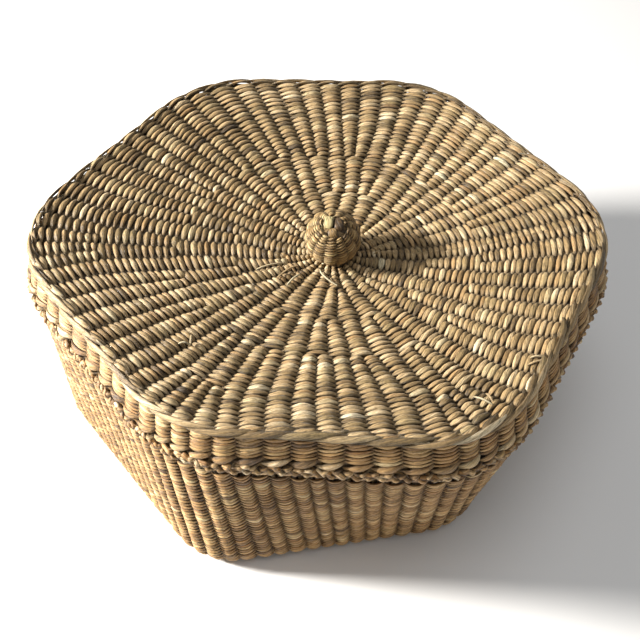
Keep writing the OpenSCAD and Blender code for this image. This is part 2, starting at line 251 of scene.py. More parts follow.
def dish_surface(angle, out):
    """The lid's upper face. out is 0 at the shoulder and negative towards the knob."""
    share = 1 + out / DISH_RUN
    spoke = rim_outline(angle, 0) - PLAN_MIDDLE - KNOB_MIDDLE
    roundness = (1 - share) * DISH_RUN / np.linalg.norm(spoke, axis=-1)
    plan = KNOB_MIDDLE + spoke * (share * (share + roundness))[..., None]
    height = shoulder_z - (shoulder_z - dish_z) * (1 - share**DISH_POWER)
    rise = np.clip((NECK_SPREAD_R - share * DISH_RUN) / (NECK_SPREAD_R - NECK_TOP_R), 0, NECK_PAST_TOP)
    neck = (neck_top_z - dish_z) * rise**2
    return at_height(plan, height + neck)


def skirt_surface(angle, down):
    """The lid's side, from under the shoulder row down to the border."""
    plan = rim_outline(angle, SKIRT_FLARE * down / skirt_length) - PLAN_MIDDLE
    return at_height(plan, skirt_top_z - down)


def wall_surface(angle, down):
    """The leaning wall, from the ledge down to the foot."""
    share = (1 - down / wall_length)[..., None]
    low = at_height(base_outline(angle, 0), foot_z)
    high = at_height(rim_outline(angle, WALL_OUT) - PLAN_MIDDLE, wall_top_z)
    return low * (1 - share) + high * share


def foot_surface(angle, turn):
    """The rounded foot. turn runs from 0 at the wall to 90 degrees on the underside."""
    side = np.cos(np.radians(turn)) * FOOT_RUN - FOOT_RUN
    return at_height(base_outline(angle, side), foot_z * (1 - np.sin(np.radians(turn))))


def base_surface(angle, share):
    """The underside. share is 1 at the foot and 0 in the middle."""
    edge = base_outline(angle, -FOOT_RUN) - BASE_MIDDLE
    return at_height(BASE_MIDDLE + edge * share[..., None], BASE_RISE * (1 - share**2))


def collar_surface(angle, down):
    """The neck that the lid slides over."""
    low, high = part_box("collar_outer_strands")
    plan = rim_outline(angle, COLLAR_OUT) - PLAN_MIDDLE
    return at_height(plan, high.z - down)


print("lid rim from", widest_ring.min(axis=0).round(4), "to", widest_ring.max(axis=0).round(4))

# %% [markdown]
# ## Where the ribs run
# A rib is a stake with the strands over it. 20 ribs close round the neck of the knob, and soon there are
# 28. As they fan out, the weaver splits them at two more rings, so that there are 42 and then 63, and a few
# more near three of the corners. Just outside a ring a new rib still lies close to its neighbour and drifts
# away over the next rows. The ribs also lean a little round the knob. So a rib's angle is a function of its
# number and of how far out it is.

# %% Rib angles
STEPS_PER_RIB = 7
# Share of the way out over which split ribs drift apart, and how far from the old rib they start
FAN_WIDTH = 0.17
PAIR_SPACING = 0.27
# Most that a rib lies off its even place, as a share of the spacing
RIB_UNEVEN = 0.10
# Rounds of smoothing that even out the spacing after a split
CALM_ROUNDS = 12


class Zone:
    """A band of rows that all have the same ribs. split lists which ribs of the inner zone are doubled."""

    def __init__(self, inner=None, split=(), start=0.0, count=0, seed=0):
        self.start = start
        self.inner = inner
        if inner is None:
            self.parents = np.arange(count)
            self.sides = np.zeros(count)
            self.even = (np.arange(count) + 0.5) * 360 / count
            spread = 360 / count
        else:
            doubled = [[(rib, -PAIR_SPACING), (rib, PAIR_SPACING)] if rib in split else [(rib, 0.0)]
                       for rib in range(len(inner.even))]
            pairs = [pair for group in doubled for pair in group]
            self.parents = np.array([rib for rib, _ in pairs])
            self.sides = np.array([side for _, side in pairs])
            self.even = self.relaxed()
            spread = 360 / len(pairs)
        draw = np.random.default_rng(seed)
        self.even = self.even + draw.uniform(-RIB_UNEVEN, RIB_UNEVEN, len(self.even)) * spread

    def relaxed(self):
        """Rib angles after the split ribs have drifted apart, more evenly spaced than at the split."""
        gaps = np.diff(np.append(self.at_split(), self.at_split()[0] + 360))
        for _ in range(CALM_ROUNDS):
            gaps = (gaps + 0.5 * (np.roll(gaps, 1) + np.roll(gaps, -1))) / 2
        gaps *= 360 / gaps.sum()
        angles = self.at_split()[0] + np.concatenate([[0], np.cumsum(gaps[:-1])])
        return angles + (self.at_split() - angles).mean()

    def at_split(self):
        spacing = np.diff(np.append(self.inner.even, self.inner.even[0] + 360))
        return self.inner.even[self.parents] + self.sides * spacing[self.parents]

    def angles(self, rib, share):
        """Angle of each rib number at each distance share; a number past the last rib starts a new lap."""
        count = len(self.even)
        lap = np.floor(rib / count)
        index = (rib - lap * count).astype(int) % count
        settled = self.even[index]
        if self.inner is not None:
            drift = np.clip((share - self.start) / FAN_WIDTH, 0, 1)
            drift = drift * drift * (3 - 2 * drift)
            settled = self.at_split()[index] * (1 - drift) + settled * drift
        return settled + 360 * lap + STAKE_SWIRL * (np.minimum(share, 1) - 1)


def near(ribs, angles, width):
    """Numbers of the ribs that lie near one of some angles."""
    return [rib for rib, angle in enumerate(ribs)
            if min(abs((angle - corner + 180) % 360 - 180) for corner in angles) < width]


# Where the ribs split, as shares of the way from the knob to the shoulder
NECK_RING, FIRST_RING, SECOND_RING, CORNER_RING = 0.18, 0.36, 0.56, 0.80
SPLIT_AT_NECK = [0, 2, 5, 7, 10, 12, 15, 17]
SPLIT_CORNERS, SPLIT_REACH = (181, 240, 302), 7.5
zone_0 = Zone(count=20, seed=10)
zone_1 = Zone(zone_0, SPLIT_AT_NECK, NECK_RING, seed=11)
zone_2 = Zone(zone_1, range(1, 28, 2), FIRST_RING, seed=12)
zone_3 = Zone(zone_2, range(1, 42, 2), SECOND_RING, seed=13)
zone_4 = Zone(zone_3, near(zone_3.even, SPLIT_CORNERS, SPLIT_REACH), CORNER_RING, seed=14)
wall_zone = Zone(count=96, seed=15)
base_middle_zone = Zone(count=48, seed=16)
base_inner_zone = Zone(count=24, seed=17)
LID_ZONES = [zone_0, zone_1, zone_2, zone_3, zone_4]
long_stitch_zone = Zone(count=44, seed=24)
print("ribs from the knob outwards:", [len(zone.even) for zone in LID_ZONES])

# %% [markdown]
# ## Guides
# A guide is a thin line that shows where the middle of a row runs: a spiral of edges with no faces. At
# each point it stores which way is out of the surface, which way is up along the rib, and the phase, which
# grows by one from rib to rib. Geometry Nodes later wind the strands round it. The line could be drawn as a
# curve object, but a mesh carries named attributes more easily.


# %% Guide maker
# Short steps that a surface's slopes are measured over, in degrees round it and in metres along it
STEP_ANGLE = 0.4
STEP_PLACE = 0.4 * MM
# The same along a surface whose place is an angle, or a share that falls on the way
STEP_TURN = 1.0
STEP_FOOT = 2.0
STEP_SHARE = -0.004


def wander(angle, row, size, seed):
    """A slow, smooth unevenness that closes on itself round the basket."""
    draw = np.random.default_rng(seed)
    total = np.zeros(np.broadcast(angle, row).shape)
    for waves in (2, 3, 5, 9, 14):
        start, climb = draw.uniform(0, 2 * math.pi), draw.uniform(0.1, 0.5)
        total += np.sin(np.radians(angle) * waves + row * climb + start) / math.sqrt(waves)
    return total * size / 2


def frames(surface, angle, place, step_place=STEP_PLACE):
    """Position, outward normal and upward direction of a surface at many points."""
    middle = surface(angle, place)
    along = surface(angle + STEP_ANGLE, place) - surface(angle - STEP_ANGLE, place)
    down = surface(angle, place + step_place) - surface(angle, place - step_place)
    along /= np.linalg.norm(along, axis=1)[:, None]
    down /= np.linalg.norm(down, axis=1)[:, None]
    out = np.cross(down, along)
    out /= np.linalg.norm(out, axis=1)[:, None]
    return middle, out, -down


def line_mesh(name, points, chain_ends, **attributes):
    """A mesh of chained edges, with a named attribute for each array."""
    links = np.arange(len(points) - 1)
    links = links[~np.isin(links, chain_ends)]
    mesh = bpy.data.meshes.new(name)
    mesh.from_pydata(points.tolist(), np.stack([links, links + 1], axis=1).tolist(), [])
    for key, values in attributes.items():
        kind = "FLOAT_VECTOR" if values.ndim == 2 else "FLOAT"
        made = mesh.attributes.new(key, kind, "POINT")
        made.data.foreach_set("vector" if values.ndim == 2 else "value", values.astype(np.float32).ravel())
    made = bpy.data.objects.new(name, mesh)
    bpy.context.scene.collection.objects.link(made)
    return made


def row_guide(name, surface, zone, first, last, rows, share_of=np.ones_like, sink=WALL_T / 2,
              uneven=0.35 * MM, seed=1, step_place=STEP_PLACE, steps=STEPS_PER_RIB):
    """Guide of rows between two places on a surface, wound as one spiral.

    A place is a distance, or an angle or a share where step_place is one.
    """
    ribs = len(zone.even)
    phase = np.arange(int(round(ribs * rows)) * steps + 1) / steps
    row = phase / ribs
    place = first + (last - first) * row / rows
    rib, part = np.floor(phase), phase - np.floor(phase)
    share = share_of(place)
    angle = zone.angles(rib, share) * (1 - part) + zone.angles(rib + 1, share) * part
    place = place + wander(angle, np.floor(row), uneven * step_place / STEP_PLACE, seed)
    points, out, up = frames(surface, angle, place, step_place)
    return line_mesh(name, points - out * sink, [], out=out, up=up, phase=phase, row=np.floor(row))


def ring_guide(name, surface, zone, place, **more):
    """Guide of a single row that closes on itself."""
    return row_guide(name, surface, zone, place, place, 1, **more)


# %% [markdown]
# ## Seagrass
# Seagrass is a dried stalk: flat, with fine lines along it, dull but with a slight sheen where it is worn.
# One strand is pale straw, the next olive or orange-brown, and the tone changes slowly along it. An image
# texture would repeat, so the colour is worked out from three numbers that the strands carry: the tone of
# each stitch, the distance along the strand, and how far the strand is turned to the front. The last one
# paints shade into the colour where a strand turns into its groove, and the edges of every strand are
# painted darker, as painted shade between the rows. The fine lines are noise stretched along the strand,
# and they also drive the bump.


# %% Seagrass material
# Colour casts of single strands: orange-brown, plain, plain, grey-green
CASTS = [(0.0, (1.05, 0.95, 0.84)), (0.2, (1.0, 1.0, 1.0)),
         (0.7, (1.0, 1.0, 1.0)), (1.0, (0.92, 0.98, 0.98))]
# How fine the lines, the splits of a stalk, the blotches and the specks are
LINE_SCALE, SPLIT_SCALE, BLOTCH_SCALE, SPECK_SCALE = 2.6, 1.25, 38.0, 900.0
# How much the lines, the blotches and the specks change the tone
LINE_TONE, BLOTCH_TONE, SPECK_TONE = 0.8, 0.3, 0.3
# How far the line pattern turns and moves along a whole strand, and from one stitch to the next
TURN_ALONG, MOVE_ALONG, TURN_BY_CAST, MOVE_BY_CAST = 120, 45, 20, 37
# Brightness left in a split, in the painted shade on the edge of a strand, and in a dark line
SPLIT_SHADE, EDGE_PAINTED_SHADE, LINE_SHADE = 0.5, 0.4, 0.62
SPLIT_WIDTH = 0.045
BUMP_HEIGHT = 0.35 * MM


def seagrass(name, stops, painted_shade_level=0.2, seed=0.0):
    """A dried stalk; its third argument sets how dark the painted shade is in the grooves."""
    material = bpy.data.materials.new(name)
    material.use_nodes = True
    net = Net(material.node_tree)
    material.node_tree.nodes.clear()
    tone, front, along, cast = (net.node("ShaderNodeAttribute", {"attribute_name": key}, out="Fac")
                                for key in ("tone", "front", "along", "cast"))
    ring = net.node("ShaderNodeAttribute", {"attribute_name": "ring"}, out="Vector")
    turned = net.node("ShaderNodeVectorRotate", {"rotation_type": "Z_AXIS"},
                      {"Vector": ring, "Angle": along * TURN_ALONG + cast * TURN_BY_CAST})
    flat = net.vector_math("MULTIPLY", turned, (1.0, 1.0, 0.0))
    lines_at = net.vector_math("ADD", flat, net.vector(cast * MOVE_BY_CAST, 0.0, along * MOVE_ALONG + seed))
    lines = net.noise(lines_at, LINE_SCALE, 4.0, Roughness=0.7)
    splits = net.noise(lines_at, SPLIT_SCALE)
    seam = net.ranged((splits - 0.5).math("ABSOLUTE"), (0.0, SPLIT_WIDTH), (SPLIT_SHADE, 1.0))
    where = net.node("ShaderNodeTexCoord", out="Object")
    blotches = net.noise(where, BLOTCH_SCALE, 2.0)
    specks = net.noise(where, SPECK_SCALE)
    mixed = tone + (blotches - 0.5) * BLOTCH_TONE + (lines - 0.5) * LINE_TONE + (specks - 0.5) * SPECK_TONE
    plain = net.node("ShaderNodeValToRGB", {"stops": stops}, {"Fac": mixed}, "Color")
    tinge = net.node("ShaderNodeValToRGB", {"stops": CASTS}, {"Fac": cast}, "Color")
    # Painted shade in the grooves: the colour darkens where a strand turns away from the front
    painted_groove_shade = net.ranged(front.math("ABSOLUTE"), (-0.3, 0.85), (painted_shade_level, 1.0))
    streak = net.ranged(lines, (0.3, 0.5), (LINE_SHADE, 1.0), "LINEAR")
    # Painted shade between the rows: the colour darkens towards both edges of a strand
    across = net.node("ShaderNodeSeparateXYZ", inputs={0: ring}, out="Y").math("ABSOLUTE")
    edge = net.ranged(across, (0.6, 1.0), (1.0, EDGE_PAINTED_SHADE))
    # The stalk's own dark lines and splits, times the painted shade of the grooves and the edges
    grain_and_painted_shade = painted_groove_shade * streak * seam * edge
    tint = net.node("ShaderNodeCombineColor", inputs={0: grain_and_painted_shade, 1: grain_and_painted_shade, 2: grain_and_painted_shade})
    base = net.multiplied(net.multiplied(plain, tinge), tint)
    bump = net.node("ShaderNodeBump", {}, {"Strength": 0.8, "Distance": BUMP_HEIGHT,
                                           "Height": lines + specks * 0.2 + seam}, "Normal")
    shader = net.node("ShaderNodeBsdfPrincipled", {},
                      {"Base Color": base, "Roughness": 0.68 - lines * 0.35, "Normal": bump,
                       "Specular IOR Level": 0.42, "Sheen Weight": 0.08})
    net.node("ShaderNodeOutputMaterial", inputs={"Surface": shader})
    return material


def browns(*hexes):
    """Evenly spaced ramp stops from sRGB hex colours."""
    stops = []
    for number, code in enumerate(hexes):
        parts = [int(code[i:i + 2], 16) / 255 for i in (0, 2, 4)]
        linear = [part / 12.92 if part <= 0.04045 else ((part + 0.055) / 1.055) ** 2.4 for part in parts]
        stops.append((number / (len(hexes) - 1), linear))
    return stops


LID_TONES = browns("413425", "6c5839", "947a50", "b29568", "cbb186", "e4d3af")
WALL_TONES = browns("43301c", "75552d", "9f7743", "bd935a", "d4af76", "e9cf9e")
STALK_TONES = browns("2e2314", "55432a", "77603d", "95794c")
BORDER_TONES = browns("36281a", "6a5031", "957245", "b7915c", "d0b080", "eedcb8")
KNOB_TONES = browns("42331f", "715a38", "96784a", "b3935f", "cbb07c", "dcc68e")
# Third argument, where given: brightness of the painted shade in the grooves; 1.0 means none
lid_grass = seagrass("lid_seagrass", LID_TONES)
wall_grass = seagrass("wall_seagrass", WALL_TONES, painted_shade_level=0.12, seed=3.0)
stalk_grass = seagrass("stake_stalks", STALK_TONES, painted_shade_level=1.0, seed=5.0)
border_grass = seagrass("border_seagrass", BORDER_TONES, painted_shade_level=0.25, seed=7.0)
knob_grass = seagrass("knob_seagrass", KNOB_TONES, seed=9.0)
print("materials:", [material.name for material in bpy.data.materials if material.users])

# %% [markdown]
# ## Winding strands on a guide
# Two strands of a pair are two helices, half a turn apart. Each one swings out of the surface with the
# cosine of its turn and along the rib with the sine, so it is in front at one rib and behind at the next.
# It is pinched where the pair crosses in a groove and full over the rib, and each stitch is a little
# different. A plait works in the same way, with three strands and a figure-of-eight swing. One Geometry
# Nodes tree does all of it, because its sizes can then differ from row to row. The strand itself is a
# flat oval, swept along the line.


# %% Tree inputs and the twining tree
# Folds of a stalk: how fine they are, how they move on along a strand and jump from stitch to stitch
FOLD_SCALE, FOLD_RUN, FOLD_JUMP = 1.3, 170, 31
# Tone of a strand: its middle, its slow drift, how far a stitch may differ, and how it changes with phase
TONE_MIDDLE, TONE_DRIFT, TONE_STITCH, TONE_PACE = 0.55, 0.8, 0.42, 0.13
# Far enough apart for two strands to drift on their own
STRAND_JUMP = 71.0
# How far stitches differ in thickness
FAT_SPREAD = 0.34


def open_tree(name, inputs):
    """A new Geometry Nodes tree, its net and the wires of its named inputs."""
    tree = bpy.data.node_groups.new(name, "GeometryNodeTree")
    tree.interface.new_socket("Geometry", in_out="OUTPUT", socket_type="NodeSocketGeometry")
    for key, (kind, value) in inputs.items():
        made = tree.interface.new_socket(key, in_out="INPUT", socket_type="NodeSocket" + kind)
        if value is not None:
            made.default_value = value
    net = Net(tree)
    entry = tree.nodes.new("NodeGroupInput")
    return net, {key: Wire(net, entry.outputs[key]) for key in inputs}


def close_tree(net, geometry, material):
    """Ends a tree as every tree here ends: real faces, smooth, with their material."""
    real = net.node("GeometryNodeRealizeInstances", inputs={"Geometry": geometry})
    smooth = net.node("GeometryNodeSetShadeSmooth", inputs={"Geometry": real, "Shade Smooth": True})
    painted = net.node("GeometryNodeSetMaterial", inputs={"Geometry": smooth, "Material": material})
    net.node("NodeGroupOutput", inputs={"Geometry": painted})
    return net.tree


def read(net, key, kind="FLOAT"):
    return net.node("GeometryNodeInputNamedAttribute", {"data_type": kind}, {"Name": key}, "Attribute")


def store(net, geometry, key, value, kind="FLOAT"):
    return net.node("GeometryNodeStoreNamedAttribute", {"data_type": kind, "domain": "POINT"},
                    {"Geometry": geometry, "Name": key, "Value": value})


def oval(net, thickness, width, sides):
    """The outline of a flat strand, which remembers its own place round the strand."""
    circle = net.node("GeometryNodeCurvePrimitiveCircle", {}, {"Resolution": sides, "Radius": 1.0}, "Curve")
    marked = store(net, circle, "ring", net.node("GeometryNodeInputPosition"), "FLOAT_VECTOR")
    size = net.vector(thickness * 0.5, width * 0.5, 1.0)
    return net.node("GeometryNodeTransform", {}, {"Geometry": marked, "Scale": size})


def crinkled(net, mesh, amount):
    """Folds along a dried stalk: its faces move in and out by noise that is stretched along it."""
    ring, along = read(net, "ring", "FLOAT_VECTOR"), read(net, "along")
    place = net.vector_math("ADD", ring, net.vector(read(net, "cast") * FOLD_JUMP, 0.0, along * FOLD_RUN))
    normal = net.node("GeometryNodeInputNormal")
    folded = net.vector_math("SCALE", normal, (net.noise(place, FOLD_SCALE) - 0.5) * amount)
    return net.node("GeometryNodeSetPosition", {}, {"Geometry": mesh, "Offset": folded})


def scattered(net, place):
    """A random number from 0 to 1 that hangs on the place alone."""
    return net.node("ShaderNodeTexWhiteNoise", {"noise_dimensions": "3D"}, {"Vector": place}, "Value")


def swept(net, guide, profile, fat, out):
    """Sweeps a profile along a guide and stores the share of the way along it."""
    curve = net.node("GeometryNodeMeshToCurve", {}, {"Mesh": guide})
    faced = net.node("GeometryNodeSetCurveNormal", {"mode": "FREE"}, {"Curve": curve, "Normal": out})
    measured = store(net, faced, "along", net.node("GeometryNodeSplineParameter", out="Length"))
    sockets = {"Curve": measured, "Profile Curve": profile, "Scale": fat, "Fill Caps": True}
    return net.node("GeometryNodeCurveToMesh", inputs=sockets)


def twining_tree(strands):
    """Twists strands round each other along a guide, or plaits them."""
    net, given = open_tree(f"twining_{strands}_strands", {
        "Guide": ("Geometry", None), "Depth": ("Float", 1.7 * MM), "Lean": ("Float", 0.7 * MM),
        "Width": ("Float", 2.8 * MM), "Thickness": ("Float", 1.6 * MM),
        "Pinch": ("Float", 0.35), "Overlap": ("Float", 0.35), "Variety": ("Float", 1.0),
        "Plait": ("Float", 0.0), "Looseness": ("Float", 0.3 * MM),
        "Crinkle": ("Float", 0.9 * MM), "Sides": ("Int", 8), "Seed": ("Float", 0.0),
        "Material": ("Material", None),
    })
    phase, row = read(net, "phase"), read(net, "row")
    out, up = read(net, "out", "FLOAT_VECTOR"), read(net, "up", "FLOAT_VECTOR")
    profile = oval(net, given["Thickness"], given["Width"], given["Sides"])
    tubes = net.tree.nodes.new("GeometryNodeJoinGeometry")
    for strand in range(strands):
        steady = (phase - strand) * (2 * math.pi / strands)
        turn = steady - steady.math("SINE") * given["Overlap"]
        stitch = ((phase - strand) * (2 / strands) + 0.5).math("FLOOR")
        where = net.vector(stitch, row + given["Seed"], float(strand))
        chance = scattered(net, where)
        other = scattered(net, net.vector(row + given["Seed"], float(strand), stitch))
        lift = turn.math("SINE")
        swing = turn.math("COSINE") * (1 - given["Plait"]) + (turn * 2).math("SINE") * given["Plait"]
        outwards = net.vector_math("SCALE", out, swing * given["Depth"])
        upwards = net.vector_math("SCALE", up, lift * given["Lean"] + (other - 0.5) * given["Looseness"])
        moved = net.node("GeometryNodeSetPosition", {},
                         {"Geometry": given["Guide"], "Offset": net.vector_math("ADD", outwards, upwards)})
        slow = net.node("ShaderNodeTexNoise", {"noise_dimensions": "1D"},
                        {"W": phase * TONE_PACE + (given["Seed"] + strand * STRAND_JUMP),
                         "Scale": 1.0, "Detail": 1.0}, "Fac")
        tone = (slow - 0.5) * TONE_DRIFT + (chance - 0.5) * TONE_STITCH
        tone = tone * given["Variety"] + TONE_MIDDLE
        # front carries the strand's swing to the material, which paints shade into its grooves
        toned = store(net, store(net, moved, "front", swing), "tone", tone)
        toned = store(net, toned, "cast", other)
        fat = (1 - lift * lift * given["Pinch"]) * ((other - 0.5) * given["Variety"] * FAT_SPREAD + 1.0)
        tube = swept(net, toned, profile, fat, out)
        net.tree.links.new(tube.socket, tubes.inputs[0])
    shaped = crinkled(net, Wire(net, tubes.outputs[0]), given["Crinkle"])
    return close_tree(net, shaped, given["Material"])


def stalk_tree():
    """Sweeps a stalk along each line of a guide."""
    net, given = open_tree("stalks", {
        "Guide": ("Geometry", None), "Width": ("Float", 3.0 * MM),
        "Thickness": ("Float", 1.8 * MM), "Crinkle": ("Float", 0.8 * MM), "Sides": ("Int", 8),
        "Material": ("Material", None),
    })
    # front is 1.0, so a stalk gets none of the painted groove shade
    toned = store(net, store(net, given["Guide"], "front", 1.0), "cast", read(net, "tone"))
    profile = oval(net, given["Thickness"], given["Width"], given["Sides"])
    tube = swept(net, toned, profile, read(net, "fat"), read(net, "out", "FLOAT_VECTOR"))
    return close_tree(net, crinkled(net, tube, given["Crinkle"]), given["Material"])


TWO_STRANDS, THREE_STRANDS, STALKS = twining_tree(2), twining_tree(3), stalk_tree()


# %% From a guide to a finished piece
def woven(guide, tree, body, slot, nodes, **sizes):
    """Runs a tree on a guide and keeps the result as a plain mesh that rides on a body."""
    name = guide.name
    modifier = guide.modifiers.new("weave", "NODES")
    modifier.node_group = tree
    wanted = {key.replace("_", " ").title(): value for key, value in sizes.items()}
    for item in tree.interface.items_tree:
        if item.in_out == "INPUT" and item.name in wanted:
            modifier[item.identifier] = wanted.pop(item.name)
    assert not wanted, f"{tree.name} has no input {sorted(wanted)}"
    graph = bpy.context.evaluated_depsgraph_get()
    mesh = bpy.data.meshes.new_from_object(guide.evaluated_get(graph), depsgraph=graph)
    line = guide.data
    bpy.data.objects.remove(guide)
    bpy.data.meshes.remove(line)
    piece = bpy.data.objects.new(name, mesh)
    mesh.name = name
    bpy.context.scene.collection.objects.link(piece)
    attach(piece, body)
    if nodes:
        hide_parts(*nodes)
    print(name, len(mesh.loops) - 2 * len(mesh.polygons), "triangles")
    return piece


# %% [markdown]
# ## The lid's dished top
# The top is one spiral of twined rows from the knob to the shoulder, about 2.9 mm apart. It is kept as
# five pieces, one for each number of ribs, so that no single mesh is too heavy. The first one climbs the
# neck.

# %% Rows of the lid
# Distance from row to row, on the top and round the neck, where the plain rows end, and how much wider
# than that distance their strands are
ROW_PITCH = 2.9 * MM
NECK_PITCH = 2.3 * MM
TOP_EDGE = -3.6 * MM
ROW_OVERLAP = 1.15


def share_on_dish(out):
    return 1 + out / DISH_RUN


def ring_place(share):
    return (share - 1) * DISH_RUN


def rows_between(first, last, pitch=ROW_PITCH):
    return max(1, round(abs(last - first) / pitch))


neck_start = ring_place(NECK_TOP_R / DISH_RUN)
lid_bands = [
    ("neck_rows", zone_0, neck_start, ring_place(NECK_RING), NECK_PITCH, ["neck_binding"]),
    ("inner_rows", zone_1, ring_place(NECK_RING), ring_place(FIRST_RING), ROW_PITCH, []),
    ("middle_rows", zone_2, ring_place(FIRST_RING), ring_place(SECOND_RING), ROW_PITCH, []),
    ("outer_rows", zone_3, ring_place(SECOND_RING), ring_place(CORNER_RING), ROW_PITCH, []),
    ("shoulder_side_rows", zone_4, ring_place(CORNER_RING), TOP_EDGE, ROW_PITCH,
     ["top_outer_strands", "top_inner_strands"]),
]
for number, (name, zone, first, last, pitch, nodes) in enumerate(lid_bands):
    rows = rows_between(first, last, pitch)
    guide = row_guide(name, dish_surface, zone, first, last, rows, share_on_dish, seed=21)
    woven(guide, TWO_STRANDS, "lid", "lid_strands", nodes, depth=1.85 * MM, lean=0.55 * MM, pinch=0.6,
          width=(last - first) / rows * ROW_OVERLAP, thickness=1.9 * MM, looseness=0.6 * MM,
          seed=100.0 * number, material=lid_grass)

# %% [markdown]
# ## Shoulder, skirt and lower row
# A row of plain stitches fills the round of the shoulder, and over it runs a bold row of three long, thin
# strands. The side of the lid is plain twining again, in closer rows, and under it lies a row of long
# slanted stitches.

# %% Shoulder row
SHOULDER_ROUND = SHOULDER_ROW_W * 0.7
# Where the two rows lie on the round, in degrees: 0 is flat on the dish, 90 upright on the skirt
FILL_TILT, BOLD_TILT = 32.0, 54.0


def shoulder_surface(angle, down):
    """The round of the shoulder. down is an angle, from 0 flat on the dish to 90 upright on the skirt."""
    tilt = np.radians(down)
    plan = rim_outline(angle, (np.sin(tilt) - 1) * SHOULDER_ROUND) - PLAN_MIDDLE
    return at_height(plan, shoulder_z - (1 - np.cos(tilt)) * SHOULDER_ROUND)


guide = ring_guide("shoulder_stitches", shoulder_surface, zone_4, FILL_TILT, sink=2.6 * MM, seed=30,
                   step_place=STEP_TURN, uneven=0.02 * MM, steps=8)
woven(guide, TWO_STRANDS, "lid", "border", [], depth=1.8 * MM, lean=1.0 * MM, width=3.4 * MM,
      thickness=1.8 * MM, pinch=0.4, looseness=0.6 * MM, seed=450.0, material=lid_grass)
guide = ring_guide("shoulder_twist", shoulder_surface, long_stitch_zone, BOLD_TILT, sink=1.2 * MM, seed=31,
                   step_place=STEP_TURN, uneven=0.02 * MM, steps=12)
woven(guide, THREE_STRANDS, "lid", "border", ["shoulder_row"], depth=1.2 * MM, lean=1.6 * MM,
      width=3.3 * MM, thickness=1.5 * MM, pinch=0.7, looseness=1.0 * MM, crinkle=0.5 * MM, seed=500.0,
      material=lid_grass)

# %% Skirt and lower row
SKIRT_START = -2.8 * MM
SKIRT_PITCH = 2.0 * MM
skirt_end = skirt_top_z - lower_row_top_z
guide = row_guide("skirt_rows", skirt_surface, zone_4, SKIRT_START, skirt_end,
                  rows_between(SKIRT_START, skirt_end, SKIRT_PITCH), uneven=0.2 * MM, seed=32)
woven(guide, TWO_STRANDS, "lid", "lid_strands", ["skirt_outer_strands", "skirt_inner_strands"],
      depth=1.8 * MM, lean=0.7 * MM, width=2.4 * MM, thickness=1.6 * MM, pinch=0.62, looseness=0.7 * MM,
      seed=600.0, material=wall_grass)
lower_middle = skirt_top_z - (lower_row_top_z + plait_top_z) / 2
guide = ring_guide("lower_twist", skirt_surface, zone_4, lower_middle, seed=33, steps=8)
woven(guide, TWO_STRANDS, "lid", "border", ["lower_row"], depth=2.3 * MM, lean=1.7 * MM, width=4.0 * MM,
      thickness=2.3 * MM, pinch=0.55, looseness=0.6 * MM, seed=700.0, material=border_grass)

# %% [markdown]
# ## Stakes
# A stake is three flat stalks side by side under its rib. They close the weave, and they show only in the
# grooves, where the rows are pinched. Each stalk is a line from where its stake starts to the border, and
# one tree sweeps a flat stalk along all the lines. A stake that goes on through a ring bends to the place
# of its rib in the next band.

# %% Stake lines
STALK_STEP = 0.03
STALK_TIP = 0.6
ROWS_MIDDLE = WALL_T / 2
# The three stalks of a stake
SIDES = (-1, 0, 1)
STEM_R = 5 * MM
# Where the stalks start outside the stem, and end inside the shoulder and the border
STEM_CLEAR, SHOULDER_END, BORDER_CLEAR = 1.5 * MM, 0.96, 1.5 * MM
# A stalk starts this share outside the ring of its zone
RING_CLEAR = 0.01


def stalk_guide(name, lines, seed, tones=None):
    """Guide of many separate lines: points, their outward directions and, if it varies, their width."""
    if tones is None:
        tones = np.random.default_rng(seed).uniform(0.1, 0.9, len(lines))
    counts = [len(line[0]) for line in lines]
    ends = np.cumsum(counts) - 1
    tone = np.repeat(tones, counts)
    tapers = [np.r_[STALK_TIP, np.ones(count - 2), STALK_TIP] for count in counts]
    fat = np.concatenate([taper * (line[2] if len(line) > 2 else 1) for taper, line in zip(tapers, lines)])
    points = np.concatenate([line[0] for line in lines])
    out = np.concatenate([line[1] for line in lines])
    return line_mesh(name, points, ends, out=out, tone=tone, fat=fat)


def surface_line(surface, angle, places, **more):
    """Points along a surface at half the thickness of the weave, with their outward directions."""
    middle, out, _ = frames(surface, np.broadcast_to(angle, places.shape), places, **more)
    return middle - out * ROWS_MIDDLE, out


def beside(zone, number, shares, side):
    """Angle of a stalk a third of the way from its rib to the next one, on one side or neither."""
    own = zone.angles(np.full(len(shares), number), shares)
    other = zone.angles(np.full(len(shares), number + side), shares)
    return own + (other - own) / 3


def lid_stake(rib, side):
    """One stalk of the stake that lies under a rib at the shoulder, and the zone that it starts in."""
    number, level, band_end = rib, len(LID_ZONES) - 1, SHOULDER_END
    edge_angle = beside(LID_ZONES[-1], rib, np.ones(1), side)
    pieces = [surface_line(skirt_surface, edge_angle, np.linspace(0, skirt_length - BORDER_CLEAR, 3))]
    widths = [np.ones(3)]
    while True:
        zone = LID_ZONES[level]
        first = zone.start if level else (STEM_R + STEM_CLEAR) / DISH_RUN
        shares = np.arange(first + RING_CLEAR, band_end, STALK_STEP)
        if len(shares):
            angle = beside(zone, number, shares, side)
            pieces.insert(0, surface_line(dish_surface, angle, ring_place(shares)))
            widths.insert(0, shares * len(LID_ZONES[-1].even) / len(zone.even))
        if level == 0 or zone.sides[number] > 0:
            break
        number, level, band_end = zone.parents[number], level - 1, zone.start
    points, out = (np.concatenate(part) for part in zip(*pieces))
    return points, out, np.concatenate(widths), level


